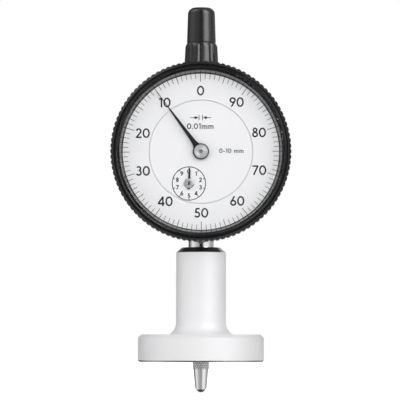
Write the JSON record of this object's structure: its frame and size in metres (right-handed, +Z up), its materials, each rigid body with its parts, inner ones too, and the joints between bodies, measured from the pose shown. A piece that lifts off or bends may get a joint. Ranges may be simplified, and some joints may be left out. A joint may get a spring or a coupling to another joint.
{
  "type": "dial depth gauge",
  "caption": "Dial depth gauge: a round flat-bottomed base clamped to the stem of a dial indicator with a knurled bezel, twin hands, a capped spindle and a ball contact point.",
  "frame": {"origin": "centre of the base's flat underside, on the spindle's axis", "axes": "+Z up along the spindle, from the contact point to the cap; the dial faces -Y; +X is to the right of a person reading the dial"},
  "size_m": [0.057, 0.04, 0.1227],
  "materials": {
    "base_chrome": "satin chrome plate, fine turning marks",
    "stem_steel": "ground and polished",
    "case_metal": "fine satin",
    "bezel_black": "gloss black, moulded",
    "cap_black": "half-gloss black, moulded",
    "crystal": "clear acrylic",
    "dial_white": "matte white with black print",
    "hand_black": "matte black",
    "hub_silver": "turned",
    "brass": "turned",
    "steel": "turned",
    "dark_steel": "black oxide",
    "spring_steel": "drawn wire",
    "point_steel": "polished",
    "ball_steel": "mirror polished",
    "rubber": "matte black"
  },
  "bodies": {
    "case_assembly": {"base": "base_chrome", "base_clamp_screw": "dark_steel", "clamp_pad": "brass", "stem": "stem_steel", "lower_guide_bush": "brass", "case": "case_metal", "rear_cover": "case_metal", "rear_cover_screws": "steel", "rear_cover_seal": "rubber", "upper_guide_bush": "brass", "stop_washer": "rubber", "dust_cap": "cap_black", "cap_seal": "rubber", "front_plate": "brass", "front_plate_screws": "steel", "rear_plate": "brass", "plate_pillars": "steel", "pillar_screws": "steel", "front_pivot_bushes": "brass", "rear_pivot_bushes": "brass", "pinion_cock": "brass", "cock_screws": "steel", "cock_bush": "brass", "guide_rail": "steel", "spring_post": "steel", "return_spring": "spring_steel", "dial_disc": "dial_white", "bezel_retaining_wire": "steel", "bezel_o_ring": "rubber", "hairspring_stud": "steel"},
    "bezel_assembly": {"bezel": "bezel_black", "crystal": "crystal", "crystal_gasket": "rubber", "dial_ring": "dial_white"},
    "spindle_assembly": {"spindle": "steel", "contact_point": "point_steel", "contact_ball": "ball_steel", "spindle_collar": "steel", "collar_screw": "steel", "guide_pin": "steel", "spring_pin": "steel"},
    "counter_assembly": {"rack_pinion": "steel", "rack_wheel": "brass", "small_hand": "hand_black", "small_hand_hub": "hub_silver"},
    "pointer_assembly": {"centre_pinion": "steel", "main_hand": "hand_black", "main_hand_hub": "hub_silver"},
    "take_up_assembly": {"take_up_arbor": "steel", "take_up_wheel": "brass", "hairspring_collet": "brass", "hairspring": "spring_steel"}
  },
  "joints": [
    {"name": "spindle_slide", "type": "slide", "parent": "case_assembly", "child": "spindle_assembly", "axis": [0, 0, 1], "range_m": [0, 0.0104], "stiffness_N_per_m": 48, "springref_m": -0.01875, "deforming": ["return_spring"]},
    {"name": "bezel_turn", "type": "hinge", "parent": "case_assembly", "child": "bezel_assembly", "pos_m": [0, 0, 0.06625], "axis": [0, 1, 0], "continuous": true},
    {"name": "pointer_turn", "type": "hinge", "parent": "case_assembly", "child": "pointer_assembly", "pos_m": [0, 0, 0.06625], "axis": [0, 1, 0], "range_deg": [0, 3745]},
    {"name": "counter_turn", "type": "hinge", "parent": "case_assembly", "child": "counter_assembly", "pos_m": [-0.00376, 0, 0.05621], "axis": [0, 1, 0], "range_deg": [-375, 0]},
    {"name": "take_up_turn", "type": "hinge", "parent": "case_assembly", "child": "take_up_assembly", "pos_m": [0.00376, 0, 0.07629], "axis": [0, 1, 0], "range_deg": [-375, 0]}
  ],
  "couplings": [
    {"joint": "pointer_turn", "follows": "spindle_slide", "rad_per_m": 6283.2},
    {"joint": "counter_turn", "follows": "spindle_slide", "rad_per_m": -628.32},
    {"joint": "take_up_turn", "follows": "spindle_slide", "rad_per_m": -628.32}
  ]
}
